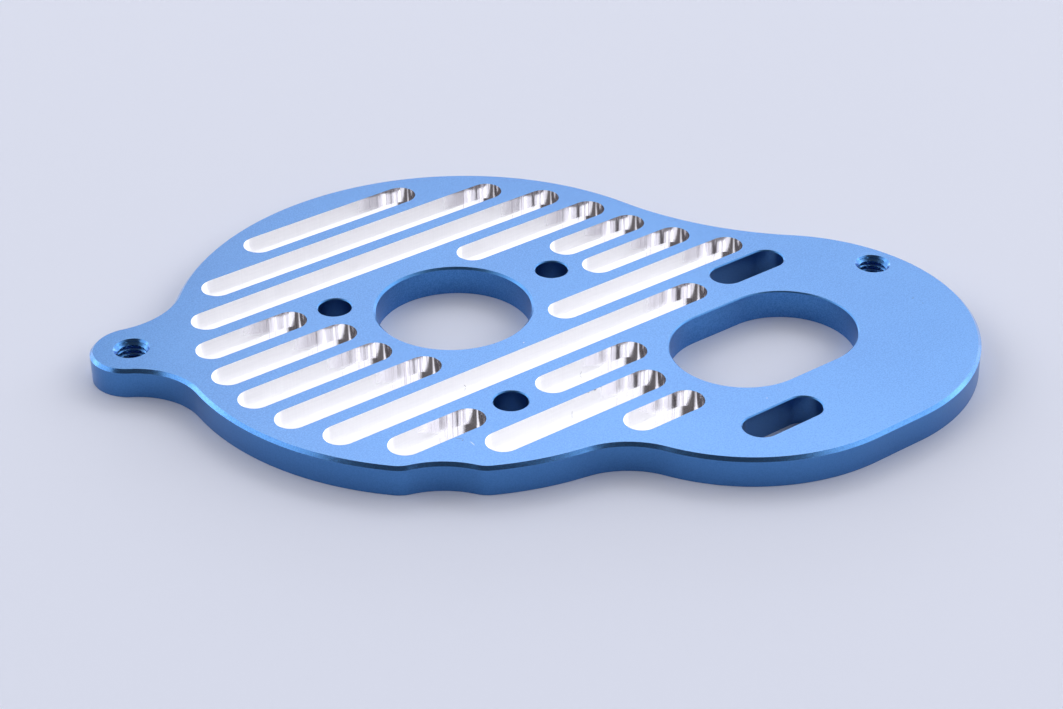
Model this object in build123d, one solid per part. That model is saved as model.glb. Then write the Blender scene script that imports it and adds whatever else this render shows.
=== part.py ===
"""Motor plate of a small electric model car, one piece machined from aluminium plate.

The plate carries a round-can electric motor behind its lobe and a gear shaft in its large bore. The motor's
two screws pass through slots, so that the motor slides along the plate to set the gear mesh. The upper face
is lightened and decorated by rows of straight grooves.

Frame: the origin is on the axis of the large bore, on the flat underside. +Z points to the grooved face,
+X runs along the grooves. All sizes are in millimetres.
"""

import math
import os

from build123d import *

# Plate
plate_thickness = 2.8
outline_chamfer = 0.3
disc_diameter = 52.0

# Large bore in the middle of the disc
bore_diameter = 14.4
bore_chamfer = 0.2

# Ear with a tapped hole, seen from the bore's axis
ear_direction = 156.3
ear_centre_beyond_disc = 3.55
ear_radius = 3.75
ear_blend_radius = 7.0

# Lobe for the motor, which keeps the motor's can radius round both ends of its travel
shaft_to_motor_distance = 28.7
shaft_to_motor_direction = -48.25
lobe_radius = 17.5
lobe_travel = 5.3
left_blend_radius = 7.5
right_blend_radius = 30.8

# Opening for the motor's round boss
boss_opening_width = 13.0
small_chamfer = 0.1

# Slots for the motor's two screws
motor_screw_spacing = 25.4
motor_screw_direction = 55.7
slot_width = 3.25
slot_travel = 4.9

# Plain screw holes, each as distance and direction from the bore's axis
screw_hole_diameter = 3.1
screw_hole_places = [(11.0, 142.6), (11.3, 0.0), (16.6, -107.8)]

# Tapped holes for a screw of 3 mm with a pitch of 0.5 mm, drilled to the thread's core
thread_diameter = 3.0
thread_pitch = 0.5
countersink_diameter = 3.3
lobe_hole_direction = 14.3
lobe_hole_to_edge = 2.75

# Shallow scallop at the lower left of the disc
scallop_direction = -127.2
scallop_radius = 8.0
scallop_depth = 0.95
scallop_corner_radius = 2.8

# Grooves, cut with one cutter of an eighth of an inch
groove_width = 3.175
groove_depth = 1.65
row_pitch = 4.6
first_row_below_disc_top = 5.0
shortest_run = 4.5

# Metal left between a groove and what it keeps clear of
margin_to_edge = 1.9
margin_to_edge_of_two_front_rows = 2.03
margin_to_bore = 1.5
margin_to_screw_hole = 1.45
margin_to_boss_opening = 2.0
margin_beside_slot = 0.95
margin_at_slot_end = 1.6

# What follows from the sizes above
groove_radius = groove_width / 2
thread_core_diameter = thread_diameter - thread_pitch
tapped_chamfer = (countersink_diameter - thread_core_diameter) / 2


def polar(start, distance, direction):
    """Point at a distance and direction, in degrees, from a start point."""
    turn = math.radians(direction)
    return (start[0] + distance * math.cos(turn), start[1] + distance * math.sin(turn))


def direction_of(start, end):
    """Direction in degrees from one point to another."""
    return math.degrees(math.atan2(end[1] - start[1], end[0] - start[0]))


def point_on_both(centre_a, radius_a, centre_b, radius_b, side):
    """Point where two circles meet: on the left of the line from a to b for side 1, on its right for -1."""
    gap = math.dist(centre_a, centre_b)
    along = (gap**2 + radius_a**2 - radius_b**2) / (2 * gap)
    turn = math.degrees(math.acos(along / radius_a))
    return polar(centre_a, radius_a, direction_of(centre_a, centre_b) + side * turn)


def arc_left(centre, radius, first, last):
    """Arc that turns left from one direction to another: an outward curve of the outline."""
    return CenterArc(centre, radius, first, (last - first) % 360)


def arc_right(centre, radius, first, last):
    """Arc that turns right from one direction to another: an inward curve of the outline."""
    return CenterArc(centre, radius, first, (last - first) % 360 - 360)


# Places
disc_radius = disc_diameter / 2
disc = (0.0, 0.0)
ear = polar(disc, disc_radius + ear_centre_beyond_disc, ear_direction)
motor = polar(disc, shaft_to_motor_distance, shaft_to_motor_direction)
lobe_left = (motor[0] - lobe_travel / 2, motor[1])
lobe_right = (motor[0] + lobe_travel / 2, motor[1])
slots = [
    polar(motor, motor_screw_spacing / 2, motor_screw_direction),
    polar(motor, -motor_screw_spacing / 2, motor_screw_direction),
]
screw_holes = [polar(disc, distance, direction) for distance, direction in screw_hole_places]
lobe_hole = polar(lobe_right, lobe_radius - lobe_hole_to_edge, lobe_hole_direction)

# Centres of the outline's inward curves and of the scallop's corners
ear_blend_above = point_on_both(
    disc, disc_radius + ear_blend_radius, ear, ear_radius + ear_blend_radius, -1
)
ear_blend_below = point_on_both(
    disc, disc_radius + ear_blend_radius, ear, ear_radius + ear_blend_radius, 1
)
left_blend = point_on_both(
    disc, disc_radius + left_blend_radius, lobe_left, lobe_radius + left_blend_radius, -1
)
right_blend = point_on_both(
    disc, disc_radius + right_blend_radius, lobe_right, lobe_radius + right_blend_radius, 1
)
scallop = polar(disc, disc_radius + scallop_radius - scallop_depth, scallop_direction)
corner_before = point_on_both(
    disc, disc_radius - scallop_corner_radius, scallop, scallop_radius + scallop_corner_radius, -1
)
corner_after = point_on_both(
    disc, disc_radius - scallop_corner_radius, scallop, scallop_radius + scallop_corner_radius, 1
)


def outline():
    """Outline of the plate as one closed line, each curve running smoothly into the next."""
    lobe_bottom = motor[1] - lobe_radius
    return Wire(
        [
            arc_left(
                disc, disc_radius, direction_of(disc, right_blend), direction_of(disc, ear_blend_above)
            ),
            arc_right(
                ear_blend_above,
                ear_blend_radius,
                direction_of(ear_blend_above, disc),
                direction_of(ear_blend_above, ear),
            ),
            arc_left(
                ear, ear_radius, direction_of(ear, ear_blend_above), direction_of(ear, ear_blend_below)
            ),
            arc_right(
                ear_blend_below,
                ear_blend_radius,
                direction_of(ear_blend_below, ear),
                direction_of(ear_blend_below, disc),
            ),
            arc_left(
                disc, disc_radius, direction_of(disc, ear_blend_below), direction_of(disc, corner_before)
            ),
            arc_left(
                corner_before,
                scallop_corner_radius,
                direction_of(disc, corner_before),
                direction_of(corner_before, scallop),
            ),
            arc_right(
                scallop,
                scallop_radius,
                direction_of(scallop, corner_before),
                direction_of(scallop, corner_after),
            ),
            arc_left(
                corner_after,
                scallop_corner_radius,
                direction_of(corner_after, scallop),
                direction_of(disc, corner_after),
            ),
            arc_left(
                disc, disc_radius, direction_of(disc, corner_after), direction_of(disc, left_blend)
            ),
            arc_right(
                left_blend,
                left_blend_radius,
                direction_of(left_blend, disc),
                direction_of(left_blend, lobe_left),
            ),
            arc_left(lobe_left, lobe_radius, direction_of(lobe_left, left_blend), 270),
            Line((lobe_left[0], lobe_bottom), (lobe_right[0], lobe_bottom)),
            arc_left(lobe_right, lobe_radius, 270, direction_of(lobe_right, right_blend)),
            arc_right(
                right_blend,
                right_blend_radius,
                direction_of(right_blend, lobe_right),
                direction_of(right_blend, disc),
            ),
        ]
    )


def blank():
    """Plate with its outline cut and its upper edge chamfered."""
    plate = extrude(Face(outline()), plate_thickness)
    return chamfer(plate.faces().sort_by(Axis.Z)[-1].edges(), outline_chamfer)


def through_round(centre, diameter, edge):
    """Round through hole with a chamfer of the given size at its upper edge."""
    radius = diameter / 2
    hole = Cylinder(radius, plate_thickness, align=(Align.CENTER, Align.CENTER, Align.MIN))
    flare = Cone(radius, radius + edge, edge, align=(Align.CENTER, Align.CENTER, Align.MIN))
    return Pos(centre[0], centre[1], 0) * (hole + Pos(0, 0, plate_thickness - edge) * flare)


def through_slot(centre, travel, width, edge):
    """Through slot along X, with a chamfer of the given size at its upper edge."""
    shape = SlotCenterToCenter(travel, width)
    hole = extrude(shape, plate_thickness)
    top = Pos(0, 0, plate_thickness) * SlotCenterToCenter(travel, width + 2 * edge)
    flare = loft([Pos(0, 0, plate_thickness - edge) * shape, top])
    return Pos(centre[0], centre[1], 0) * (hole + flare)


def chord(centre, radius, row, side):
    """Place along X where a row meets a circle, on its right for side 1 and on its left for -1."""
    return centre[0] + side * math.sqrt(radius**2 - (row - centre[1]) ** 2)


def row_limits(row, margin):
    """Ends of a row along X that keep the given margin to the outline."""
    inset = margin + groove_radius
    left_disc = polar(disc, disc_radius - inset, direction_of(disc, left_blend))[1]
    left_lobe = polar(lobe_left, lobe_radius - inset, direction_of(lobe_left, left_blend))[1]
    right_disc = polar(disc, disc_radius - inset, direction_of(disc, right_blend))[1]
    right_lobe = polar(lobe_right, lobe_radius - inset, direction_of(lobe_right, right_blend))[1]
    if row > left_disc:
        left = chord(disc, disc_radius - inset, row, -1)
    elif row > left_lobe:
        left = chord(left_blend, left_blend_radius + inset, row, 1)
    else:
        left = chord(lobe_left, lobe_radius - inset, row, -1)
    if row > right_disc:
        right = chord(disc, disc_radius - inset, row, 1)
    elif row > right_lobe:
        right = chord(right_blend, right_blend_radius + inset, row, -1)
    else:
        right = chord(lobe_right, lobe_radius - inset, row, 1)
    return left, right


def obstacles():
    """What the grooves keep clear of: each a centre, half the length of its middle line, and a clearance."""
    zones = [(disc, 0, bore_diameter / 2 + margin_to_bore)]
    zones += [(hole, 0, screw_hole_diameter / 2 + margin_to_screw_hole) for hole in screw_holes]
    zones += [(hole, 0, countersink_diameter / 2 + margin_to_screw_hole) for hole in (ear, lobe_hole)]
    zones += [(motor, lobe_travel / 2, boss_opening_width / 2 + margin_to_boss_opening)]
    slot_half = slot_travel / 2 + margin_at_slot_end - margin_beside_slot
    zones += [(slot, slot_half, slot_width / 2 + margin_beside_slot) for slot in slots]
    return [(centre, half, clearance + groove_radius) for centre, half, clearance in zones]


def row_runs(row, margin):
    """Grooves of one row, each as the two places along X where its end curves are centred."""
    runs = [row_limits(row, margin)]
    for centre, half, clearance in obstacles():
        across = abs(row - centre[1])
        if across < clearance:
            reach = half + math.sqrt(clearance**2 - across**2)
            start, end = centre[0] - reach, centre[0] + reach
            runs = [(a, min(b, start)) for a, b in runs] + [(max(a, end), b) for a, b in runs]
    return [(a, b) for a, b in runs if b - a > shortest_run]


def groove_rows():
    """Heights along Y of the rows, from the top of the disc down to the lower edge of the boss opening."""
    first = disc_radius - first_row_below_disc_top
    last = motor[1] - boss_opening_width / 2
    count = math.floor((first - last) / row_pitch) + 1
    return [first - number * row_pitch for number in range(count)]


def grooves():
    """All grooves as solids to cut away, with flat floors and round ends."""
    floor = plate_thickness - groove_depth
    cuts = []
    rows = groove_rows()
    for row in rows:
        margin = margin_to_edge_of_two_front_rows if row in rows[-2:] else margin_to_edge
        for start, end in row_runs(row, margin):
            shape = SlotCenterToCenter(end - start, groove_width)
            cuts.append(Pos((start + end) / 2, row, floor) * extrude(shape, groove_depth))
    return cuts


def motor_plate():
    """The whole plate."""
    cuts = [through_round(disc, bore_diameter, bore_chamfer)]
    cuts += [through_slot(motor, lobe_travel, boss_opening_width, small_chamfer)]
    cuts += [through_slot(slot, slot_travel, slot_width, small_chamfer) for slot in slots]
    cuts += [through_round(hole, screw_hole_diameter, small_chamfer) for hole in screw_holes]
    cuts += [through_round(hole, thread_core_diameter, tapped_chamfer) for hole in (ear, lobe_hole)]
    return blank() - cuts - grooves()


os.makedirs("parts", exist_ok=True)
export_step(motor_plate(), "parts/motor_plate.step")
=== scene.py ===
import math

import bmesh
import bpy
from mathutils import Matrix, Vector


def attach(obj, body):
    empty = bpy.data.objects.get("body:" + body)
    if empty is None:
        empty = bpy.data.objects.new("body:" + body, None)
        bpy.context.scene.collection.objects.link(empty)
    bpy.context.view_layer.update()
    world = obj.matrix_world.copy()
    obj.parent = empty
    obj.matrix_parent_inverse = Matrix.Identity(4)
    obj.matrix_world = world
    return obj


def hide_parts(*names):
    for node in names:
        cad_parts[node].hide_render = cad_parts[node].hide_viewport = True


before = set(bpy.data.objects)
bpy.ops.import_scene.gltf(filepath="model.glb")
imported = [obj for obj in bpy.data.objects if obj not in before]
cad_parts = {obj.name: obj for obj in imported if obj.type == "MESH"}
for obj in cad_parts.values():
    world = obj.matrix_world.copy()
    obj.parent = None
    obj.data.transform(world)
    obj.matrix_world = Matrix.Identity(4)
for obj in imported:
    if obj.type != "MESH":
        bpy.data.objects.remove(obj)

bpy.context.view_layer.update()

MM = 0.001

# Sizes of the plate in millimetres, as in the solid part
PLATE_THICKNESS = 2.8
OUTLINE_CHAMFER = 0.3
DISC_DIAMETER = 52.0
BORE_DIAMETER = 14.4
BORE_CHAMFER = 0.2
EAR_DIRECTION = 156.3
EAR_CENTRE_BEYOND_DISC = 3.55
EAR_RADIUS = 3.75
EAR_BLEND_RADIUS = 7.0
SHAFT_TO_MOTOR_DISTANCE = 28.7
SHAFT_TO_MOTOR_DIRECTION = -48.25
LOBE_RADIUS = 17.5
LOBE_TRAVEL = 5.3
LEFT_BLEND_RADIUS = 7.5
RIGHT_BLEND_RADIUS = 30.8
BOSS_OPENING_WIDTH = 13.0
SMALL_CHAMFER = 0.1
MOTOR_SCREW_SPACING = 25.4
MOTOR_SCREW_DIRECTION = 55.7
SLOT_WIDTH = 3.25
SLOT_TRAVEL = 4.9
SCREW_HOLE_DIAMETER = 3.1
SCREW_HOLE_PLACES = [(11.0, 142.6), (11.3, 0.0), (16.6, -107.8)]
THREAD_DIAMETER = 3.0
THREAD_PITCH = 0.5
THREAD_FLAT_AT_CREST = 0.14
THREAD_FLAT_AT_ROOT = 0.10
COUNTERSINK_DIAMETER = 3.3
LOBE_HOLE_DIRECTION = 14.3
LOBE_HOLE_TO_EDGE = 2.75
SCALLOP_DIRECTION = -127.2
SCALLOP_RADIUS = 8.0
SCALLOP_DEPTH = 0.95
SCALLOP_CORNER_RADIUS = 2.8
GROOVE_WIDTH = 3.175
GROOVE_DEPTH = 1.65
ROW_PITCH = 4.6
FIRST_ROW_BELOW_DISC_TOP = 5.0
SHORTEST_RUN = 4.5
MARGIN_TO_EDGE = 1.9
MARGIN_TO_EDGE_OF_TWO_FRONT_ROWS = 2.03
MARGIN_TO_BORE = 1.5
MARGIN_TO_SCREW_HOLE = 1.45
MARGIN_TO_BOSS_OPENING = 2.0
MARGIN_BESIDE_SLOT = 0.95
MARGIN_AT_SLOT_END = 1.6

# How finely the curves are divided, in millimetres and in steps
STEP_ALONG_OUTLINE = 0.25
STEPS_ROUND_BORE = 180
STEPS_ROUND_HOLE = 96
STEPS_ROUND_GROOVE_ENDS = 240
STEPS_ALONG_THREAD = 112
WELDING_DISTANCE = 0.001

# Finishes of the faces, in the order of the plate's material slots
FACE, WALL, EDGE, GROOVE_FLOOR, GROOVE_WALL, THREAD, HOLE_WALL, INNER_WALL, HOLE_EDGE = range(9)

# What the lines and points that the plate grows from stand for
WALL_LINE, GROOVE_MIDDLE, TAPPED_HOLE_CENTRE = range(3)


def polar(start, distance, direction):
    turn = math.radians(direction)
    return (start[0] + distance * math.cos(turn), start[1] + distance * math.sin(turn))


def direction_of(start, end):
    return math.degrees(math.atan2(end[1] - start[1], end[0] - start[0]))


def point_on_both(centre_a, radius_a, centre_b, radius_b, side):
    gap = math.dist(centre_a, centre_b)
    along = (gap**2 + radius_a**2 - radius_b**2) / (2 * gap)
    turn = math.degrees(math.acos(along / radius_a))
    return polar(centre_a, radius_a, direction_of(centre_a, centre_b) + side * turn)


# Places on the plate
DISC_RADIUS = DISC_DIAMETER / 2
GROOVE_RADIUS = GROOVE_WIDTH / 2
disc = (0.0, 0.0)
ear = polar(disc, DISC_RADIUS + EAR_CENTRE_BEYOND_DISC, EAR_DIRECTION)
motor = polar(disc, SHAFT_TO_MOTOR_DISTANCE, SHAFT_TO_MOTOR_DIRECTION)
lobe_left = (motor[0] - LOBE_TRAVEL / 2, motor[1])
lobe_right = (motor[0] + LOBE_TRAVEL / 2, motor[1])
slots = [
    polar(motor, MOTOR_SCREW_SPACING / 2, MOTOR_SCREW_DIRECTION),
    polar(motor, -MOTOR_SCREW_SPACING / 2, MOTOR_SCREW_DIRECTION),
]
screw_holes = [polar(disc, distance, direction) for distance, direction in SCREW_HOLE_PLACES]
lobe_hole = polar(lobe_right, LOBE_RADIUS - LOBE_HOLE_TO_EDGE, LOBE_HOLE_DIRECTION)
ear_blend_above = point_on_both(
    disc, DISC_RADIUS + EAR_BLEND_RADIUS, ear, EAR_RADIUS + EAR_BLEND_RADIUS, -1
)
ear_blend_below = point_on_both(
    disc, DISC_RADIUS + EAR_BLEND_RADIUS, ear, EAR_RADIUS + EAR_BLEND_RADIUS, 1
)
left_blend = point_on_both(
    disc, DISC_RADIUS + LEFT_BLEND_RADIUS, lobe_left, LOBE_RADIUS + LEFT_BLEND_RADIUS, -1
)
right_blend = point_on_both(
    disc, DISC_RADIUS + RIGHT_BLEND_RADIUS, lobe_right, LOBE_RADIUS + RIGHT_BLEND_RADIUS, 1
)
scallop = polar(disc, DISC_RADIUS + SCALLOP_RADIUS - SCALLOP_DEPTH, SCALLOP_DIRECTION)
corner_before = point_on_both(
    disc, DISC_RADIUS - SCALLOP_CORNER_RADIUS, scallop, SCALLOP_RADIUS + SCALLOP_CORNER_RADIUS, -1
)
corner_after = point_on_both(
    disc, DISC_RADIUS - SCALLOP_CORNER_RADIUS, scallop, SCALLOP_RADIUS + SCALLOP_CORNER_RADIUS, 1
)


def arc(centre, radius, first, last, turn):
    """Points of an arc but its last, each with the direction into the metal. Turn 1 bulges outwards."""
    swept = (last - first) % 360 if turn > 0 else (last - first) % 360 - 360
    count = max(2, round(abs(math.radians(swept)) * radius / STEP_ALONG_OUTLINE))
    points = []
    for step in range(count):
        direction = first + swept * step / count
        into = polar((0, 0), -turn, direction)
        points.append((polar(centre, radius, direction), into))
    return points


def outline():
    """Outline of the plate, anticlockwise, as points with the direction into the metal."""
    # Each arc's centre and radius, the two lines between centres on which it starts and ends, and its turn
    arcs = [
        (disc, DISC_RADIUS, (disc, right_blend), (disc, ear_blend_above), 1),
        (ear_blend_above, EAR_BLEND_RADIUS, (ear_blend_above, disc), (ear_blend_above, ear), -1),
        (ear, EAR_RADIUS, (ear, ear_blend_above), (ear, ear_blend_below), 1),
        (ear_blend_below, EAR_BLEND_RADIUS, (ear_blend_below, ear), (ear_blend_below, disc), -1),
        (disc, DISC_RADIUS, (disc, ear_blend_below), (disc, corner_before), 1),
        (corner_before, SCALLOP_CORNER_RADIUS, (disc, corner_before), (corner_before, scallop), 1),
        (scallop, SCALLOP_RADIUS, (scallop, corner_before), (scallop, corner_after), -1),
        (corner_after, SCALLOP_CORNER_RADIUS, (corner_after, scallop), (disc, corner_after), 1),
        (disc, DISC_RADIUS, (disc, corner_after), (disc, left_blend), 1),
        (left_blend, LEFT_BLEND_RADIUS, (left_blend, disc), (left_blend, lobe_left), -1),
    ]
    points = []
    for centre, radius, start, end, turn in arcs:
        points += arc(centre, radius, direction_of(*start), direction_of(*end), turn)

    # Both ends of the lobe, with a short straight stretch between them
    points += arc(lobe_left, LOBE_RADIUS, direction_of(lobe_left, left_blend), 270, 1)
    points.append(((lobe_left[0], motor[1] - LOBE_RADIUS), (0.0, 1.0)))
    points += arc(lobe_right, LOBE_RADIUS, 270, direction_of(lobe_right, right_blend), 1)
    points += arc(
        right_blend,
        RIGHT_BLEND_RADIUS,
        direction_of(right_blend, lobe_right),
        direction_of(right_blend, disc),
        -1,
    )
    return points


def hole_line(centre, travel, radius, steps):
    """Line of a round or slotted hole, as points with the direction into the metal."""
    points = []
    for step in range(steps):
        direction = 360 * (step + 0.5) / steps
        shift = math.copysign(travel / 2, math.cos(math.radians(direction)))
        into = polar((0, 0), 1, direction)
        points.append((polar((centre[0] + shift, centre[1]), radius, direction), into))
    return points


def chord(centre, radius, row, side):
    return centre[0] + side * math.sqrt(radius**2 - (row - centre[1]) ** 2)


def row_limits(row, margin):
    """Ends of a row of grooves that keep the given margin to the outline."""
    inset = margin + GROOVE_RADIUS
    left_disc = polar(disc, DISC_RADIUS - inset, direction_of(disc, left_blend))[1]
    left_lobe = polar(lobe_left, LOBE_RADIUS - inset, direction_of(lobe_left, left_blend))[1]
    right_disc = polar(disc, DISC_RADIUS - inset, direction_of(disc, right_blend))[1]
    right_lobe = polar(lobe_right, LOBE_RADIUS - inset, direction_of(lobe_right, right_blend))[1]
    if row > left_disc:
        left = chord(disc, DISC_RADIUS - inset, row, -1)
    elif row > left_lobe:
        left = chord(left_blend, LEFT_BLEND_RADIUS + inset, row, 1)
    else:
        left = chord(lobe_left, LOBE_RADIUS - inset, row, -1)
    if row > right_disc:
        right = chord(disc, DISC_RADIUS - inset, row, 1)
    elif row > right_lobe:
        right = chord(right_blend, RIGHT_BLEND_RADIUS + inset, row, -1)
    else:
        right = chord(lobe_right, LOBE_RADIUS - inset, row, 1)
    return left, right


def groove_runs():
    """All grooves, each as its row and the two places along X where its end curves are centred."""
    zones = [(disc, 0, BORE_DIAMETER / 2 + MARGIN_TO_BORE)]
    zones += [(hole, 0, SCREW_HOLE_DIAMETER / 2 + MARGIN_TO_SCREW_HOLE) for hole in screw_holes]
    zones += [(hole, 0, COUNTERSINK_DIAMETER / 2 + MARGIN_TO_SCREW_HOLE) for hole in (ear, lobe_hole)]
    zones += [(motor, LOBE_TRAVEL / 2, BOSS_OPENING_WIDTH / 2 + MARGIN_TO_BOSS_OPENING)]
    slot_half = SLOT_TRAVEL / 2 + MARGIN_AT_SLOT_END - MARGIN_BESIDE_SLOT
    zones += [(slot, slot_half, SLOT_WIDTH / 2 + MARGIN_BESIDE_SLOT) for slot in slots]
    first = DISC_RADIUS - FIRST_ROW_BELOW_DISC_TOP
    last = motor[1] - BOSS_OPENING_WIDTH / 2
    count = math.floor((first - last) / ROW_PITCH) + 1
    found = []
    for number in range(count):
        row = first - number * ROW_PITCH
        margin = MARGIN_TO_EDGE if number < count - 2 else MARGIN_TO_EDGE_OF_TWO_FRONT_ROWS
        runs = [row_limits(row, margin)]
        for centre, half, clearance in zones:
            across = abs(row - centre[1])
            reach = clearance + GROOVE_RADIUS
            if across < reach:
                along = half + math.sqrt(reach**2 - across**2)
                start, end = centre[0] - along, centre[0] + along
                runs = [(a, min(b, start)) for a, b in runs] + [(max(a, end), b) for a, b in runs]
        found += [(row, a, b) for a, b in runs if b - a > SHORTEST_RUN]
    return found


class Nodes:
    """A node tree that is built node by node."""

    def __init__(self, group):
        self.group = group

    def join(self, value, socket):
        if isinstance(value, bpy.types.NodeSocket):
            self.group.links.new(value, socket)
        else:
            socket.default_value = value

    def add(self, kind, sockets=None, **settings):
        node = self.group.nodes.new(kind)
        for name, value in settings.items():
            setattr(node, name, value)
        for name, value in (sockets or {}).items():
            self.join(value, node.inputs[name])
        return node.outputs

    def math(self, operation, *values):
        node = self.group.nodes.new("ShaderNodeMath")
        node.operation = operation
        for value, socket in zip(values, node.inputs):
            self.join(value, socket)
        return node.outputs[0]

    def ramp(self, value, low, high, start=0.0, end=1.0):
        """A smooth step from start to end while the value goes from low to high."""
        return self.add(
            "ShaderNodeMapRange",
            {"Value": value, "From Min": low, "From Max": high, "To Min": start, "To Max": end},
            interpolation_type="SMOOTHSTEP",
        )["Result"]

    def between(self, value, rise, fall):
        """1 within a range, with a smooth rise at its start and a smooth fall at its end."""
        return self.math("MULTIPLY", self.ramp(value, *rise), self.ramp(value, *fall, 1.0, 0.0))


class Tree(Nodes):
    """A Geometry Nodes tree with named inputs."""

    def __init__(self, name, sizes):
        super().__init__(bpy.data.node_groups.new(name, "GeometryNodeTree"))
        sockets = self.group.interface
        sockets.new_socket("Geometry", in_out="INPUT", socket_type="NodeSocketGeometry")
        for label, value in sizes.items():
            kind = "NodeSocketInt" if isinstance(value, int) else "NodeSocketFloat"
            sockets.new_socket(label, in_out="INPUT", socket_type=kind).default_value = value
        sockets.new_socket("Geometry", in_out="OUTPUT", socket_type="NodeSocketGeometry")
        self.inputs = self.group.nodes.new("NodeGroupInput").outputs
        self.result = self.group.nodes.new("NodeGroupOutput").inputs["Geometry"]

    def position(self):
        """The place of a point, taken apart in X, Y and Z."""
        return self.add("ShaderNodeSeparateXYZ", {"Vector": self.add("GeometryNodeInputPosition")[0]})

    def named(self, kind, name):
        return self.add("GeometryNodeInputNamedAttribute", {"Name": name}, data_type=kind)["Attribute"]

    def vector(self, x, y, z):
        return self.add("ShaderNodeCombineXYZ", {"X": x, "Y": y, "Z": z})["Vector"]

    def move(self, geometry, selection, offset):
        sockets = {"Geometry": geometry, "Offset": offset}
        if selection is not None:
            sockets["Selection"] = selection
        return self.add("GeometryNodeSetPosition", sockets)["Geometry"]

    def mark(self, geometry, selection, finish):
        """Notes which finish the chosen faces have."""
        sockets = {"Geometry": geometry, "Name": "finish", "Value": finish}
        if selection is not None:
            sockets["Selection"] = selection
        return self.add(
            "GeometryNodeStoreNamedAttribute", sockets, data_type="INT", domain="FACE"
        )["Geometry"]

    def chosen(self, geometry, name, number):
        """The points whose named whole number has the given value."""
        same = self.math("COMPARE", self.named("INT", name), float(number), 0.5)
        return self.add(
            "GeometryNodeSeparateGeometry", {"Geometry": geometry, "Selection": same}, domain="POINT"
        )["Selection"]

    def welded(self, geometry):
        return self.add(
            "GeometryNodeMergeByDistance", {"Geometry": geometry, "Distance": WELDING_DISTANCE * MM}
        )["Geometry"]

    def merged(self, *parts):
        node = self.group.nodes.new("GeometryNodeJoinGeometry")
        for part in parts:
            self.group.links.new(part, node.inputs[0])
        return node.outputs[0]


def tapped_hole_tree():
    """Wall of a tapped hole with a right-hand thread and a countersink, its lower rim at height 0."""
    tree = Tree(
        "Tapped hole",
        {
            "Plate thickness": PLATE_THICKNESS * MM,
            "Thread diameter": THREAD_DIAMETER * MM,
            "Thread pitch": THREAD_PITCH * MM,
            "Countersink diameter": COUNTERSINK_DIAMETER * MM,
            "Steps round": STEPS_ROUND_HOLE,
            "Steps along": STEPS_ALONG_THREAD,
        },
    )
    size = tree.inputs
    sheet = tree.add(
        "GeometryNodeMeshGrid",
        {
            "Size X": 1.0,
            "Size Y": 1.0,
            "Vertices X": tree.math("ADD", size["Steps round"], 1.0),
            "Vertices Y": tree.math("ADD", size["Steps along"], 1.0),
        },
    )["Mesh"]
    place = tree.position()
    turn = tree.math("ADD", place["X"], 0.5)
    height = tree.math("MULTIPLY", tree.math("ADD", place["Y"], 0.5), size["Plate thickness"])
    along = tree.math("SUBTRACT", tree.math("DIVIDE", height, size["Thread pitch"]), turn)
    within = tree.math("FRACT", along)
    ridge = tree.math("ABSOLUTE", tree.math("SUBTRACT", tree.math("MULTIPLY", within, 2.0), 1.0))
    flank = tree.add(
        "ShaderNodeMapRange",
        {"Value": ridge, "From Min": THREAD_FLAT_AT_CREST, "From Max": 1.0 - THREAD_FLAT_AT_ROOT},
        interpolation_type="LINEAR",
    )["Result"]
    core = tree.math(
        "MULTIPLY", tree.math("SUBTRACT", size["Thread diameter"], size["Thread pitch"]), 0.5
    )
    cut = tree.math("MULTIPLY", flank, tree.math("MULTIPLY", size["Thread pitch"], 0.5))
    thread = tree.math("ADD", core, cut)
    below_face = tree.math("SUBTRACT", size["Plate thickness"], height)
    rim = tree.math("MULTIPLY", size["Countersink diameter"], 0.5)
    cone = tree.math("SUBTRACT", rim, below_face)
    radius = tree.math("MAXIMUM", thread, cone)
    angle = tree.math("MULTIPLY", turn, math.tau)
    x = tree.math("MULTIPLY", radius, tree.math("COSINE", angle))
    y = tree.math("MULTIPLY", radius, tree.math("SINE", angle))
    rolled = tree.add(
        "GeometryNodeSetPosition", {"Geometry": sheet, "Position": tree.vector(x, y, height)}
    )["Geometry"]
    closed = tree.welded(rolled)
    tree.join(tree.mark(closed, None, THREAD), tree.result)
    return tree.group


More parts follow.
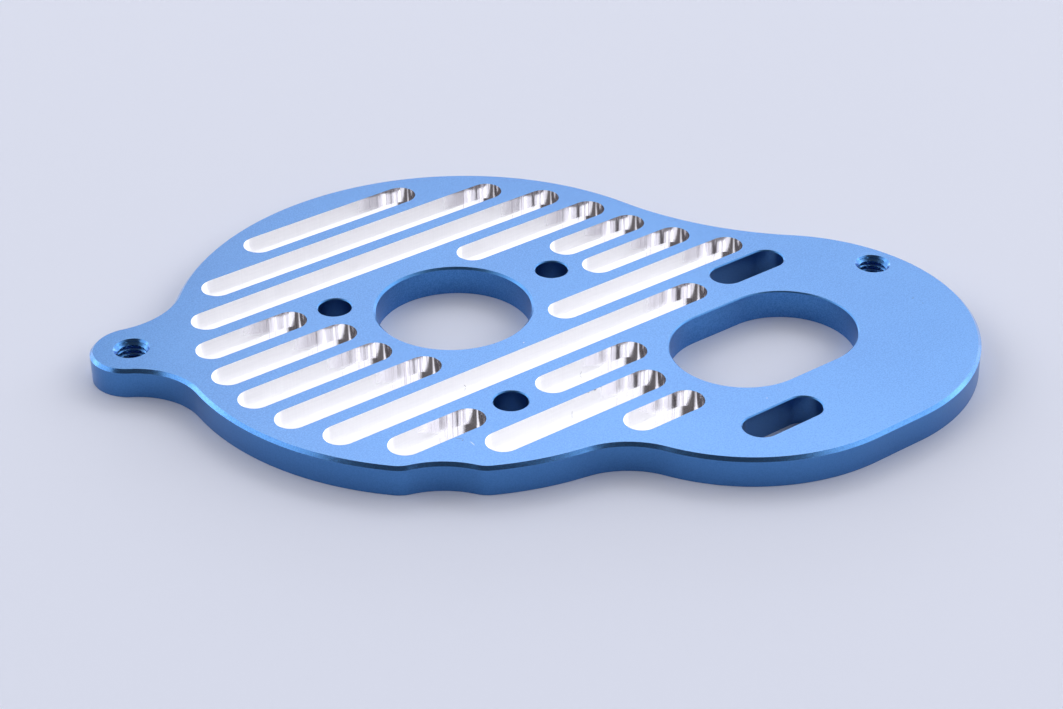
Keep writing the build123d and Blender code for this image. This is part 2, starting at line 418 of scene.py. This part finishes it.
def plate_tree(finishes):
    """The whole plate, from its lines, its grooves' middles and its tapped holes' centres."""
    tree = Tree(
        "Milled plate",
        {
            "Plate thickness": PLATE_THICKNESS * MM,
            "Groove width": GROOVE_WIDTH * MM,
            "Groove depth": GROOVE_DEPTH * MM,
            "Steps round groove ends": STEPS_ROUND_GROOVE_ENDS,
            "Sharp from": math.radians(30),
        },
    )
    size = tree.inputs
    thickness = size["Plate thickness"]

    # Walls and chamfers of the outline and of the through holes
    lines = tree.chosen(size["Geometry"], "line_kind", WALL_LINE)
    edge = tree.named("FLOAT", "edge_width")
    wall = tree.add("GeometryNodeExtrudeMesh", {"Mesh": lines, "Offset Scale": 0.0}, mode="EDGES")
    rise = tree.vector(0.0, 0.0, tree.math("SUBTRACT", thickness, edge))
    walls = tree.mark(tree.move(wall["Mesh"], wall["Top"], rise), None, tree.named("INT", "wall_finish"))
    bevel = tree.add(
        "GeometryNodeExtrudeMesh",
        {"Mesh": walls, "Selection": wall["Top"], "Offset Scale": 0.0},
        mode="EDGES",
    )
    inward = tree.add(
        "ShaderNodeVectorMath",
        {0: tree.named("FLOAT_VECTOR", "into_metal"), "Scale": edge},
        operation="SCALE",
    )["Vector"]
    slope = tree.add(
        "ShaderNodeVectorMath", {0: inward, 1: tree.vector(0.0, 0.0, edge)}, operation="ADD"
    )["Vector"]
    leaned = tree.move(bevel["Mesh"], bevel["Top"], slope)
    cut = tree.mark(leaned, bevel["Side"], tree.named("INT", "edge_finish"))

    # Grooves: one round pocket at each middle, drawn out to both sides
    middles = tree.chosen(size["Geometry"], "line_kind", GROOVE_MIDDLE)
    half_width = tree.math("MULTIPLY", size["Groove width"], 0.5)
    disc_shape = tree.add(
        "GeometryNodeMeshCircle",
        {"Vertices": size["Steps round groove ends"], "Radius": half_width},
        fill_type="NGON",
    )["Mesh"]
    half_step = tree.math("DIVIDE", math.pi, size["Steps round groove ends"])
    turned = tree.add(
        "GeometryNodeTransform",
        {"Geometry": disc_shape, "Rotation": tree.vector(0.0, 0.0, half_step)},
    )["Geometry"]
    sided = tree.add(
        "GeometryNodeStoreNamedAttribute",
        {"Geometry": turned, "Name": "run_end", "Value": tree.math("SIGN", tree.position()["X"])},
        data_type="FLOAT",
        domain="POINT",
    )["Geometry"]
    pocket = tree.add(
        "GeometryNodeExtrudeMesh",
        {
            "Mesh": sided,
            "Offset": tree.vector(0.0, 0.0, -1.0),
            "Offset Scale": size["Groove depth"],
            "Individual": False,
        },
        mode="FACES",
    )
    walled = tree.mark(pocket["Mesh"], pocket["Side"], GROOVE_WALL)
    floored = tree.mark(walled, pocket["Top"], GROOVE_FLOOR)
    row = tree.add("GeometryNodeInstanceOnPoints", {"Points": middles, "Instance": floored})["Instances"]
    real = tree.add("GeometryNodeRealizeInstances", {"Geometry": row})["Geometry"]
    half_run = tree.named("FLOAT", "half_run")
    reach = tree.math("MULTIPLY", tree.named("FLOAT", "run_end"), half_run)
    drawn = tree.move(real, None, tree.vector(reach, 0.0, thickness))
    right_end = tree.math("ADD", tree.named("FLOAT", "middle_x"), half_run)
    past_end = tree.math("SUBTRACT", tree.position()["X"], right_end)
    grooves = tree.add(
        "GeometryNodeStoreNamedAttribute",
        {"Geometry": drawn, "Name": "past_end", "Value": past_end},
        data_type="FLOAT",
        domain="POINT",
    )["Geometry"]

    # Tapped holes
    hole = tree.group.nodes.new("GeometryNodeGroup")
    hole.node_tree = tapped_hole_tree()
    tree.join(thickness, hole.inputs["Plate thickness"])
    centres = tree.chosen(size["Geometry"], "line_kind", TAPPED_HOLE_CENTRE)
    holes = tree.add("GeometryNodeInstanceOnPoints", {"Points": centres, "Instance": hole.outputs[0]})
    tapped = tree.add("GeometryNodeRealizeInstances", {"Geometry": holes["Instances"]})["Geometry"]

    # Upper and lower face, filled between the open rims
    shell = tree.merged(cut, grooves, tapped)
    faces = [shell]
    height = tree.position()["Z"]
    near = tree.add("GeometryNodeInputMeshEdgeNeighbors")["Face Count"]
    single = tree.math("COMPARE", near, 1.0, 0.1)
    for level in (thickness, 0.0):
        at_level = tree.math("COMPARE", height, level, WELDING_DISTANCE * MM)
        rims = tree.add(
            "GeometryNodeMeshToCurve",
            {"Mesh": shell, "Selection": tree.math("MULTIPLY", single, at_level)},
        )["Curve"]
        filled = tree.add("GeometryNodeFillCurve", {"Curve": rims})["Mesh"]
        faces.append(tree.move(filled, None, tree.vector(0.0, 0.0, level)))
    whole = tree.welded(tree.merged(*faces))
    bend = tree.add("GeometryNodeInputMeshEdgeAngle")["Unsigned Angle"]
    smooth = tree.add(
        "GeometryNodeSetShadeSmooth", {"Geometry": whole, "Shade Smooth": True}, domain="FACE"
    )["Geometry"]
    creased = tree.add(
        "GeometryNodeSetShadeSmooth",
        {
            "Geometry": smooth,
            "Selection": tree.math("GREATER_THAN", bend, size["Sharp from"]),
            "Shade Smooth": False,
        },
        domain="EDGE",
    )["Geometry"]
    done = tree.add("GeometryNodeRealizeInstances", {"Geometry": creased})["Geometry"]
    number = tree.named("INT", "finish")
    for order, material in enumerate(finishes):
        chosen = tree.math("COMPARE", number, float(order), 0.5) if order else True
        done = tree.add(
            "GeometryNodeSetMaterial", {"Geometry": done, "Selection": chosen, "Material": material}
        )["Geometry"]
    tree.join(done, tree.result)
    return tree.group


def plate_lines():
    """A mesh of the lines and points that the tree turns into the plate."""
    holes = [
        (disc, 0, BORE_DIAMETER / 2, STEPS_ROUND_BORE, BORE_CHAMFER, INNER_WALL),
        (motor, LOBE_TRAVEL, BOSS_OPENING_WIDTH / 2, STEPS_ROUND_BORE, SMALL_CHAMFER, INNER_WALL),
    ]
    for slot in slots:
        holes.append((slot, SLOT_TRAVEL, SLOT_WIDTH / 2, STEPS_ROUND_HOLE, SMALL_CHAMFER, HOLE_WALL))
    for hole in screw_holes:
        holes.append((hole, 0, SCREW_HOLE_DIAMETER / 2, STEPS_ROUND_HOLE, SMALL_CHAMFER, HOLE_WALL))
    loops = [(outline(), OUTLINE_CHAMFER, WALL, EDGE)]
    for centre, travel, radius, steps, chamfer, wall in holes:
        loops.append((hole_line(centre, travel, radius, steps), chamfer, wall, HOLE_EDGE))
    points, joins = [], []
    for loop, chamfer, wall, edge in loops:
        first = len(points)
        for number, (place, into) in enumerate(loop):
            joins.append((first + number, first + (number + 1) % len(loop)))
            points.append((place, WALL_LINE, wall, edge, chamfer * MM, into, 0.0, 0.0))
    for row, left, right in groove_runs():
        middle = (left + right) / 2
        half = (right - left) / 2
        points.append(((middle, row), GROOVE_MIDDLE, 0, 0, 0.0, (0.0, 0.0), half * MM, middle * MM))
    for centre in (ear, lobe_hole):
        points.append((centre, TAPPED_HOLE_CENTRE, 0, 0, 0.0, (0.0, 0.0), 0.0, 0.0))
    places, kinds, walls, edges, widths, inward, halves, middles = zip(*points)
    mesh = bpy.data.meshes.new("plate lines")
    mesh.from_pydata([(x * MM, y * MM, 0.0) for x, y in places], joins, [])
    for name, kind, values in (
        ("line_kind", "INT", kinds),
        ("wall_finish", "INT", walls),
        ("edge_finish", "INT", edges),
        ("edge_width", "FLOAT", widths),
        ("half_run", "FLOAT", halves),
        ("middle_x", "FLOAT", middles),
    ):
        mesh.attributes.new(name, kind, "POINT").data.foreach_set("value", values)
    flat = [number for x, y in inward for number in (x, y, 0.0)]
    mesh.attributes.new("into_metal", "FLOAT_VECTOR", "POINT").data.foreach_set("vector", flat)
    return mesh


def build_plate(finishes):
    """The plate as one plain closed mesh."""
    source = bpy.data.objects.new("plate lines", plate_lines())
    for material in finishes:
        source.data.materials.append(material)
    bpy.context.scene.collection.objects.link(source)
    modifier = source.modifiers.new("Milled plate", "NODES")
    modifier.node_group = plate_tree(finishes)
    graph = bpy.context.evaluated_depsgraph_get()
    mesh = bpy.data.meshes.new_from_object(source.evaluated_get(graph), depsgraph=graph)
    source.modifiers.remove(modifier)
    bpy.data.objects.remove(source)
    work = bmesh.new()
    work.from_mesh(mesh)
    bmesh.ops.recalc_face_normals(work, faces=work.faces)
    work.to_mesh(mesh)
    work.free()
    spent = ("line_kind", "wall_finish", "edge_finish", "edge_width", "half_run", "middle_x")
    for name in spent + ("into_metal", "run_end", "finish"):
        if name in mesh.attributes:
            mesh.attributes.remove(mesh.attributes[name])
    plate = bpy.data.objects.new("milled_plate", mesh)
    bpy.context.scene.collection.objects.link(plate)
    return plate


class Finish(Nodes):
    """A metal finish, whose pattern is placed on the plate's own coordinates."""

    def __init__(self, name):
        self.material = bpy.data.materials.new(name)
        self.material.use_nodes = True
        super().__init__(self.material.node_tree)
        self.shader = self.group.nodes["Principled BSDF"].inputs
        self.place = self.add("ShaderNodeTexCoord")["Object"]

    def noise(self, scale, detail=2.0, roughness=0.5, stretch=None):
        """Noise with so many patches to a metre, drawn out by the given factors."""
        where = self.place
        if stretch:
            where = self.add("ShaderNodeMapping", {"Vector": where, "Scale": stretch})["Vector"]
        return self.add(
            "ShaderNodeTexNoise",
            {"Vector": where, "Scale": scale, "Detail": detail, "Roughness": roughness},
        )["Fac"]

    def mix(self, share, first, second):
        node = self.group.nodes.new("ShaderNodeMix")
        node.data_type = "RGBA"
        for value, socket in zip((share, first, second), (node.inputs[0], node.inputs[6], node.inputs[7])):
            self.join(value, socket)
        return node.outputs[2]

    def trace(self, place, turn, size):
        """How much a point lies in an oval mark, of which the place and half axes are in mm."""
        where = self.add(
            "ShaderNodeMapping",
            {
                "Vector": self.place,
                "Location": [value * MM for value in place],
                "Rotation": [math.radians(value) for value in turn],
                "Scale": [value * MM for value in size],
            },
            vector_type="TEXTURE",
        )["Vector"]
        away = self.add("ShaderNodeVectorMath", {0: where}, operation="LENGTH")["Value"]
        return self.ramp(away, 1.0, 0.4)

    def traces(self, rows):
        """The small oval marks of all the given rows together."""
        total = 0.0
        for place, turn, size in rows:
            total = self.math("MAXIMUM", total, self.trace(place, turn, size))
        return total

    def bump(self, height, distance, strength):
        """Relief after a pattern, as high as the given distance in metres."""
        normal = self.add(
            "ShaderNodeBump", {"Height": height, "Distance": distance, "Strength": strength}
        )["Normal"]
        self.join(normal, self.shader["Normal"])


# Colours of the finishes, as linear red, green, blue and cover
BLUE_LIGHT = (0.087, 0.302, 0.676, 1.0)
BLUE_DEEP = (0.052, 0.221, 0.560, 1.0)
# Outer walls and threads: the face's blue made darker, as painted shade
WALL_PALE_PAINTED_SHADE = (0.071, 0.244, 0.565, 1.0)
WALL_DEEP_PAINTED_SHADE = (0.057, 0.209, 0.506, 1.0)
# Walls of the small holes: darker and greyer than the face's blue, as painted shade in the holes
HOLE_PALE_PAINTED_SHADE = (0.100, 0.260, 0.520, 1.0)
HOLE_DEEP_PAINTED_SHADE = (0.084, 0.225, 0.465, 1.0)
# Edges of the through holes: the face's blue made darker, as painted shade that dims their glints
EDGE_PALE_PAINTED_SHADE = (0.080, 0.260, 0.560, 1.0)
EDGE_DEEP_PAINTED_SHADE = (0.060, 0.210, 0.480, 1.0)
BARE_METAL = (0.985, 0.985, 0.990, 1.0)
BARE_METAL_DULL = (0.940, 0.940, 0.950, 1.0)
# Dark purple-brown of the streaks at the groove ends: painted dark reflection
CHATTER_AND_PAINTED_REFLECTION = (0.360, 0.320, 0.350, 1.0)
# Greyer metal towards each groove's right end
GREY_TOWARDS_GROOVE_END = (0.800, 0.790, 0.815, 1.0)
MILLED_FLOOR = (0.935, 0.935, 0.938, 1.0)
MILLED_FLOOR_DULL = (0.885, 0.885, 0.890, 1.0)
DIRT = (0.020, 0.022, 0.035, 1.0)
DUST = (0.800, 0.850, 0.950, 1.0)


def anodised(name, light, deep, roughness, coat, coat_roughness, spread=0.03):
    """Blue anodised aluminium with a fine satin grain."""
    finish = Finish(name)
    grain = finish.noise(7200.0, 2.0, 0.6)
    cloud = finish.noise(70.0, 2.0, 0.5)
    share = finish.math("ADD", finish.math("MULTIPLY", grain, 0.8), finish.math("MULTIPLY", cloud, 0.2))
    satin = finish.ramp(share, 0.3, 0.7, roughness - spread, roughness + spread)
    finish.join(finish.mix(finish.ramp(share, 0.38, 0.62), deep, light), finish.shader["Base Color"])
    finish.join(1.0, finish.shader["Metallic"])
    finish.join(satin, finish.shader["Roughness"])
    finish.join(coat, finish.shader["Coat Weight"])
    finish.join(1.7, finish.shader["Coat IOR"])
    finish.join(coat_roughness, finish.shader["Coat Roughness"])
    return finish, grain


# Small marks, each with its place, its turn in degrees and its half axes
SCRATCHES_IN_FACE = [
    ((-11.97, -17.76, 2.8), (0, 0, -45.5), (0.42, 0.07, 0.5)),
    ((-11.86, -18.16, 2.8), (0, 0, -144.0), (0.22, 0.07, 0.5)),
    ((-5.57, -18.79, 2.8), (0, 0, 0), (0.07, 0.05, 0.5)),
    ((-7.02, -16.71, 2.8), (0, 0, 20), (0.06, 0.05, 0.5)),
    ((34.59, -24.63, 2.8), (0, 0, 15), (0.14, 0.07, 0.5)),
    ((34.67, -25.82, 2.8), (0, 0, 0), (0.08, 0.07, 0.5)),
]
DUST_ON_FACE = [
    ((1.44, -8.87, 2.8), (0, 0, 30), (0.14, 0.09, 0.5)),
    ((-11.49, -19.06, 2.8), (0, 0, -92.3), (0.48, 0.06, 0.5)),
    ((12.74, -28.96, 2.8), (0, 0, 0), (0.10, 0.08, 0.5)),
]
NICKS_IN_GROOVES = [
    ((1.09, -18.81, 2.76), (0, 0, 0), (0.09, 0.3, 0.07)),
    ((1.80, -18.81, 2.76), (0, 0, 0), (0.17, 0.3, 0.12)),
    ((2.49, -18.81, 2.76), (0, 0, 0), (0.08, 0.3, 0.06)),
    ((3.82, -14.21, 1.35), (0, 35, 0), (0.03, 0.3, 0.24)),
    ((-0.73, -18.81, 1.35), (0, 5, 0), (0.03, 0.3, 0.30)),
    ((-5.60, -9.61, 1.33), (0, -35, 0), (0.03, 0.3, 0.26)),
]


def anodised_face():
    finish, grain = anodised(
        "blue anodised face", BLUE_LIGHT, BLUE_DEEP, roughness=0.34, coat=0.8, coat_roughness=0.18
    )
    clean = finish.shader["Base Color"].links[0].from_socket
    scratched = finish.mix(finish.math("MULTIPLY", finish.traces(SCRATCHES_IN_FACE), 0.6), clean, DIRT)
    dusty = finish.mix(finish.math("MULTIPLY", finish.traces(DUST_ON_FACE), 0.4), scratched, DUST)
    finish.join(dusty, finish.shader["Base Color"])
    finish.bump(grain, 0.000010, 0.6)
    return finish.material


def anodised_wall(name, light, deep):
    """A wall with the level lines that the side of the cutter leaves."""
    finish, grain = anodised(name, light, deep, roughness=0.38, coat=0.35, coat_roughness=0.38, spread=0.04)
    lines = finish.noise(1.0, 3.0, 0.6, (180.0, 180.0, 9000.0))
    finish.bump(finish.math("ADD", lines, finish.math("MULTIPLY", grain, 0.5)), 0.000006, 0.6)
    return finish.material


# Gloss of the small anodised surfaces, and the relief of their grain in metres
OF_EDGE = dict(roughness=0.24, coat=0.5, coat_roughness=0.24, relief=0.000005, strength=0.6)
OF_HOLE_EDGE = dict(roughness=0.33, coat=0.15, coat_roughness=0.33, relief=0.000005, strength=0.6)
OF_HOLE_WALL = dict(roughness=0.32, coat=0.3, coat_roughness=0.30, relief=0.000003, strength=0.4)
OF_THREAD = dict(roughness=0.21, coat=0.3, coat_roughness=0.20, relief=0.000004, strength=0.5)


def anodised_small(name, light, deep, relief, strength, **gloss):
    """A small surface, with no other relief than its grain."""
    finish, grain = anodised(name, light, deep, **gloss)
    finish.bump(grain, relief, strength)
    return finish.material


# Pitch of the marks that the cutter's feed leaves on the groove floors, in millimetres
FEED_MARK_PITCH = 0.11


def groove_floor():
    """Bare metal with the curved marks of the cutter's feed along X."""
    finish = Finish("bare groove floor")
    axis = finish.add("ShaderNodeSeparateXYZ", {"Vector": finish.place})
    first = (DISC_RADIUS - FIRST_ROW_BELOW_DISC_TOP + ROW_PITCH / 2) * MM
    across = finish.math("MODULO", finish.math("SUBTRACT", first, axis["Y"]), ROW_PITCH * MM)
    off = finish.math("SUBTRACT", across, ROW_PITCH / 2 * MM)
    half = GROOVE_RADIUS * MM
    depth = finish.math("SUBTRACT", half * half * 1.05, finish.math("MULTIPLY", off, off))
    behind = finish.math("SUBTRACT", axis["X"], finish.math("SQRT", finish.math("MAXIMUM", depth, 0.0)))
    wobble = finish.math("MULTIPLY", finish.noise(600.0, 2.0, 0.5), 0.00006)
    feed = finish.math("ADD", behind, wobble)
    marks = finish.math("SINE", finish.math("MULTIPLY", feed, math.tau / (FEED_MARK_PITCH * MM)))
    fine = finish.noise(1.0, 3.0, 0.65, (500.0, 9000.0, 500.0))
    metal = finish.mix(finish.ramp(fine, 0.35, 0.65), MILLED_FLOOR_DULL, MILLED_FLOOR)
    finish.join(metal, finish.shader["Base Color"])
    finish.join(1.0, finish.shader["Metallic"])
    finish.join(finish.ramp(fine, 0.3, 0.7, 0.14, 0.17), finish.shader["Roughness"])
    finish.bump(finish.math("ADD", marks, fine), 0.0000006, 0.5)
    return finish.material


# Relief of the groove walls: its height in metres, how strongly it shows, and how far the walls lean
WALL_RELIEF = 0.00003
WALL_RELIEF_STRENGTH = 0.7
WALL_LEAN = 0.060


def groove_wall():
    """Bare metal with upright chatter marks, which grow towards the right end of each groove, where dark
    streaks are painted reflection.
    """
    finish = Finish("bare groove wall")
    # In metres, less than 0 on the straight wall and more than 0 on the round right end
    past = finish.add("ShaderNodeAttribute", attribute_name="past_end", attribute_type="GEOMETRY")["Fac"]
    near_end = finish.ramp(past, -0.0016, -0.0006)
    up = finish.add("ShaderNodeSeparateXYZ", {"Vector": finish.place})["Z"]
    chatter = finish.noise(1.0, 3.0, 0.6, (11000.0, 11000.0, 130.0))
    lines = finish.noise(1.0, 2.0, 0.5, (300.0, 300.0, 6000.0))

    # Dark streaks near the right end and high on the wall: painted dark reflection, laid along the chatter
    # and score patterns
    fading = finish.math("MULTIPLY", near_end, finish.ramp(up, 0.0012, 0.0026))
    streaks = finish.math("MULTIPLY", finish.ramp(chatter, 0.50, 0.78), fading)
    scores_and_painted_reflection = finish.ramp(finish.noise(1.0, 2.0, 0.6, (8500.0, 8500.0, 45.0)), 0.57, 0.72)
    scores_and_painted_reflection = finish.math("MULTIPLY", scores_and_painted_reflection, finish.ramp(past, -0.0019, -0.0008, 0.0, 0.8))
    streaks = finish.math("MAXIMUM", streaks, scores_and_painted_reflection)

    # Relief
    depth = finish.math("ADD", 0.015, finish.math("MULTIPLY", near_end, 0.08))
    lean = finish.math("MULTIPLY", up, -WALL_LEAN / WALL_RELIEF / WALL_RELIEF_STRENGTH)
    height = finish.math("MULTIPLY", chatter, depth)
    height = finish.math("ADD", height, finish.math("MULTIPLY", lines, 0.03))
    finish.bump(finish.math("ADD", height, lean), WALL_RELIEF, WALL_RELIEF_STRENGTH)

    # Colour and gloss
    cut = finish.math("ADD", finish.math("MULTIPLY", lines, 0.5), finish.math("MULTIPLY", chatter, 0.5))
    clean = finish.mix(finish.ramp(cut, 0.35, 0.65), BARE_METAL_DULL, BARE_METAL)
    # Greyer towards the right end of each groove
    greyer_at_end = finish.mix(finish.ramp(past, -0.0024, -0.0012), clean, GREY_TOWARDS_GROOVE_END)
    # The dark streaks paint the ends' dark reflection into the colour
    streaked_with_painted_reflection = finish.mix(streaks, greyer_at_end, CHATTER_AND_PAINTED_REFLECTION)
    nicked = finish.mix(finish.math("MULTIPLY", finish.traces(NICKS_IN_GROOVES), 0.8), streaked_with_painted_reflection, DIRT)
    finish.join(nicked, finish.shader["Base Color"])
    finish.join(1.0, finish.shader["Metallic"])
    finish.join(finish.ramp(past, -0.0024, -0.0013, 0.33, 0.12), finish.shader["Roughness"])
    return finish.material


plate = build_plate(
    [
        anodised_face(),
        # Outer walls in a darker copy of the face's blue, as painted shade
        anodised_wall("blue anodised wall", WALL_PALE_PAINTED_SHADE, WALL_DEEP_PAINTED_SHADE),
        anodised_small("blue anodised edge", BLUE_LIGHT, BLUE_DEEP, **OF_EDGE),
        groove_floor(),
        groove_wall(),
        # Threads in the walls' darker blue, as painted shade in the tapped holes
        anodised_small("blue anodised thread", WALL_PALE_PAINTED_SHADE, WALL_DEEP_PAINTED_SHADE, **OF_THREAD),
        # Walls of the slots and screw holes in darker colours, as painted shade
        anodised_small("blue anodised hole wall", HOLE_PALE_PAINTED_SHADE, HOLE_DEEP_PAINTED_SHADE, **OF_HOLE_WALL),
        anodised_wall("blue anodised inner wall", BLUE_LIGHT, BLUE_DEEP),
        # Edges of the through holes in a darker blue, as painted shade
        anodised_small("blue anodised hole edge", EDGE_PALE_PAINTED_SHADE, EDGE_DEEP_PAINTED_SHADE, **OF_HOLE_EDGE),
    ]
)
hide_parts("motor_plate")
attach(plate, "root")

# Camera, at the photograph's viewing angle
AZIMUTH = math.radians(-36.4296)
ELEVATION = math.radians(32.417)
ROLL = math.radians(-0.6273)
DISTANCE = 0.20666
SENSOR_WIDTH = 36.0
FOCAL_LENGTH = 78.50
LOOKED_AT = Vector((0.000735, -0.010990, 0.002865))

back = Vector(
    (
        math.sin(AZIMUTH) * math.cos(ELEVATION),
        -math.cos(AZIMUTH) * math.cos(ELEVATION),
        math.sin(ELEVATION),
    )
)
side = (-back).cross(Vector((0, 0, 1))).normalized()
over = side.cross(-back)
right = math.cos(ROLL) * side + math.sin(ROLL) * over
up = math.cos(ROLL) * over - math.sin(ROLL) * side
camera_data = bpy.data.cameras.new("camera")
camera_data.sensor_width = SENSOR_WIDTH
camera_data.lens = FOCAL_LENGTH
camera_data.clip_start = 0.01
camera_data.clip_end = 20.0
camera = bpy.data.objects.new("camera", camera_data)
turn = Matrix((right, up, back)).transposed()
camera.matrix_world = Matrix.Translation(LOOKED_AT + DISTANCE * back) @ turn.to_4x4()
bpy.context.scene.collection.objects.link(camera)
bpy.context.scene.camera = camera

# Floor, a hair below the plate
FLOOR_REACH = 2.5
FLOOR_GAP = 0.00002
FLOOR_SHADE = (0.832, 0.875, 0.968, 1.0)
FLOOR_TINT = (0.862, 0.901, 0.988, 1.0)
floor_mesh = bpy.data.meshes.new("floor")
corners = [(-1, -1), (1, -1), (1, 1), (-1, 1)]
floor_mesh.from_pydata([(x * FLOOR_REACH, y * FLOOR_REACH, 0) for x, y in corners], [], [(0, 1, 2, 3)])
floor = bpy.data.objects.new("floor", floor_mesh)
floor.location.z = -FLOOR_GAP
bpy.context.scene.collection.objects.link(floor)
sheet = Finish("pale floor")
sheet.join(sheet.mix(sheet.noise(9.0, 2.0, 0.5), FLOOR_SHADE, FLOOR_TINT), sheet.shader["Base Color"])
sheet.join(0.55, sheet.shader["Roughness"])
sheet.join(0.3, sheet.shader["Specular IOR Level"])
floor_mesh.materials.append(sheet.material)

# Light of the studio round the plate: white boxes at the back and at both sides, in a dim warm room
WHITE_OF_BOXES = (1.06, 1.075, 1.155)
WARMTH_OF_ROOM = (1.0, 0.88, 0.92)
world = bpy.data.worlds.new("studio")
bpy.context.scene.world = world
world.use_nodes = True
studio = Nodes(world.node_tree)

# facing goes from 1 on the camera's side to -1 on the far side, rightwards from -1 on the camera's left to
# 1 on its right, and height from 0 at the horizon to 1 overhead. swing is the angle to the camera's right.
ray = studio.add("ShaderNodeTexCoord")["Generated"]
turned = studio.add("ShaderNodeVectorRotate", {"Vector": ray, "Angle": -AZIMUTH}, rotation_type="Z_AXIS")
axis = studio.add("ShaderNodeSeparateXYZ", {"Vector": turned["Vector"]})
ahead = studio.math("MULTIPLY", axis["Y"], -1.0)
squares = [studio.math("MULTIPLY", axis[name], axis[name]) for name in ("X", "Y")]
level = studio.math("MAXIMUM", studio.math("SQRT", studio.math("ADD", *squares)), 0.001)
facing = studio.math("DIVIDE", ahead, level)
rightwards = studio.math("DIVIDE", axis["X"], level)
swing = studio.math("ARCTAN2", axis["X"], ahead)
height = axis["Z"]

# Boxes at the back, brighter with height and dimmer to the left, with a low one along the floor
far_box = studio.ramp(height, 0.340, 0.79, 0.06, 3.22)
far_box = studio.math("MULTIPLY", far_box, studio.ramp(rightwards, -0.24, -0.15, 0.28, 1.0))
far_box = studio.math("MULTIPLY", far_box, studio.ramp(rightwards, 0.04, 0.22, 1.0, 0.84))
low_box = studio.ramp(height, 0.29, 0.17, 0.0, 3.0)
back_boxes = studio.math("ADD", far_box, low_box)

# Boxes at the sides, low down dimmer towards the camera
low_front = studio.math("MULTIPLY", studio.ramp(facing, -0.5, 0.0), studio.ramp(height, 0.42, 0.32))
dimmer = studio.math("SUBTRACT", 1.0, studio.math("MULTIPLY", low_front, 0.90))
side_boxes = studio.math("MULTIPLY", studio.ramp(height, 0.35, 0.62, 1.28, 1.38), dimmer)

# All boxes, made even between back and sides, with a brighter stretch at the middle of each side
boxes = studio.add("ShaderNodeMix", {0: studio.ramp(facing, -0.93, -0.60), 2: back_boxes, 3: side_boxes})[0]
belt = studio.between(height, (0.15, 0.25), (0.50, 0.70))
even = studio.math("MULTIPLY", studio.between(facing, (-0.98, -0.90), (-0.40, -0.20)), belt)
boxes = studio.math("MAXIMUM", boxes, studio.math("MULTIPLY", even, 1.45))
bright = studio.math("MULTIPLY", studio.between(facing, (-0.47, -0.37), (-0.30, -0.10)), belt)
boxes = studio.math("ADD", boxes, studio.math("MULTIPLY", bright, 1.40))

# They fade overhead, and a dark part behind the camera widens upwards
climb = studio.math("MAXIMUM", studio.math("SUBTRACT", height, 0.58), 0.0)
right_edge = studio.math("ADD", 0.35, studio.math("MULTIPLY", climb, 3.6))
left_edge = studio.math("ADD", -1.04, studio.math("MULTIPLY", climb, -0.5))
past_left_edge = studio.ramp(studio.math("SUBTRACT", swing, left_edge), 0.0, 0.14)
before_right_edge = studio.ramp(studio.math("SUBTRACT", right_edge, swing), 0.0, 0.14)
dark = studio.math("MULTIPLY", studio.math("MULTIPLY", past_left_edge, before_right_edge), 0.96)
boxes = studio.math("MULTIPLY", boxes, studio.ramp(height, 0.64, 0.83, 1.0, 0.16))
boxes = studio.math("MULTIPLY", boxes, studio.math("SUBTRACT", 1.0, dark))

room = studio.ramp(height, 0.0, 0.6, 0.20, 0.10)
cool = studio.add("ShaderNodeVectorMath", {0: WHITE_OF_BOXES, "Scale": boxes}, operation="SCALE")["Vector"]
warm = studio.add("ShaderNodeVectorMath", {0: WARMTH_OF_ROOM, "Scale": room}, operation="SCALE")["Vector"]
light = studio.add("ShaderNodeVectorMath", {0: cool, 1: warm}, operation="ADD")["Vector"]
studio.join(light, studio.group.nodes["Background"].inputs["Color"])

scene = bpy.context.scene
scene.view_settings.view_transform = "Standard"

bpy.context.view_layer.update()
